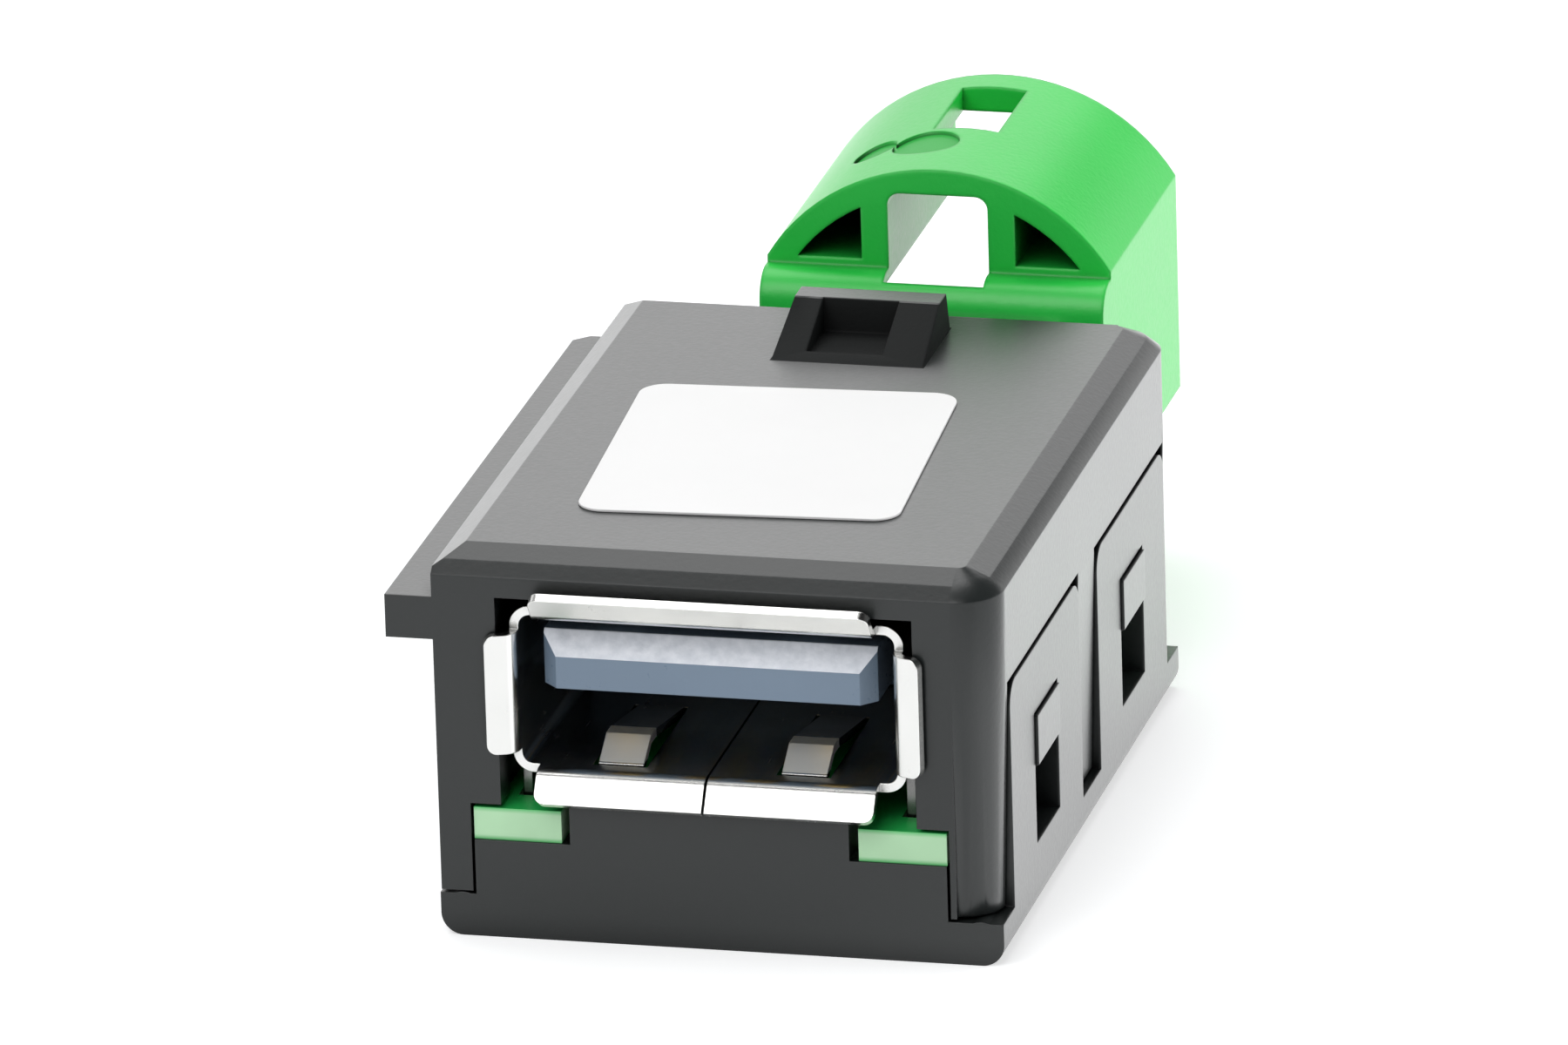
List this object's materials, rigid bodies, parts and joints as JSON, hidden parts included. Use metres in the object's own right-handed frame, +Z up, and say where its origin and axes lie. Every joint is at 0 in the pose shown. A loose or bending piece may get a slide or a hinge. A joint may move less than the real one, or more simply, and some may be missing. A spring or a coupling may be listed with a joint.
{
  "type": "car usb socket",
  "caption": "Car USB socket: a black snap-together housing with a type A port at the front, a guide rail, a top catch and a green arched connector shroud at the rear.",
  "frame": {"origin": "middle of the housing's underside", "axes": "+X to the right seen from the port, +Y from the port to the rear connector, +Z up"},
  "size_m": [0.0204, 0.041, 0.0166],
  "materials": {
    "black_plastic": "satin moulded",
    "board": "solder mask over glass laminate",
    "shell_steel": "bright tin plated",
    "blade_plastic": "satin moulded",
    "contact_gold": "gold plated",
    "green_plastic": "satin moulded",
    "cast_metal": "plated casting",
    "white_plastic": "satin moulded",
    "chip_black": "moulded resin",
    "ferrite_grey": "fired",
    "capacitor_tan": "fired",
    "label_white": "semi-gloss"
  },
  "bodies": {
    "root": {"upper_housing": "black_plastic", "lower_housing": "black_plastic", "circuit_board": "board", "usb_shell": "shell_steel", "usb_insulator": "blade_plastic", "usb_contact_1": "contact_gold", "usb_contact_2": "contact_gold", "usb_contact_3": "contact_gold", "usb_contact_4": "contact_gold", "connector_shroud": "green_plastic", "connector_body": "cast_metal", "connector_insulator": "white_plastic", "connector_pin_1": "contact_gold", "connector_pin_2": "contact_gold", "connector_pin_3": "contact_gold", "connector_pin_4": "contact_gold", "surge_protection_chip": "chip_black", "noise_choke": "ferrite_grey", "supply_ferrite": "ferrite_grey", "ceramic_capacitors": "capacitor_tan", "top_label": "label_white"}
  },
  "joints": []
}
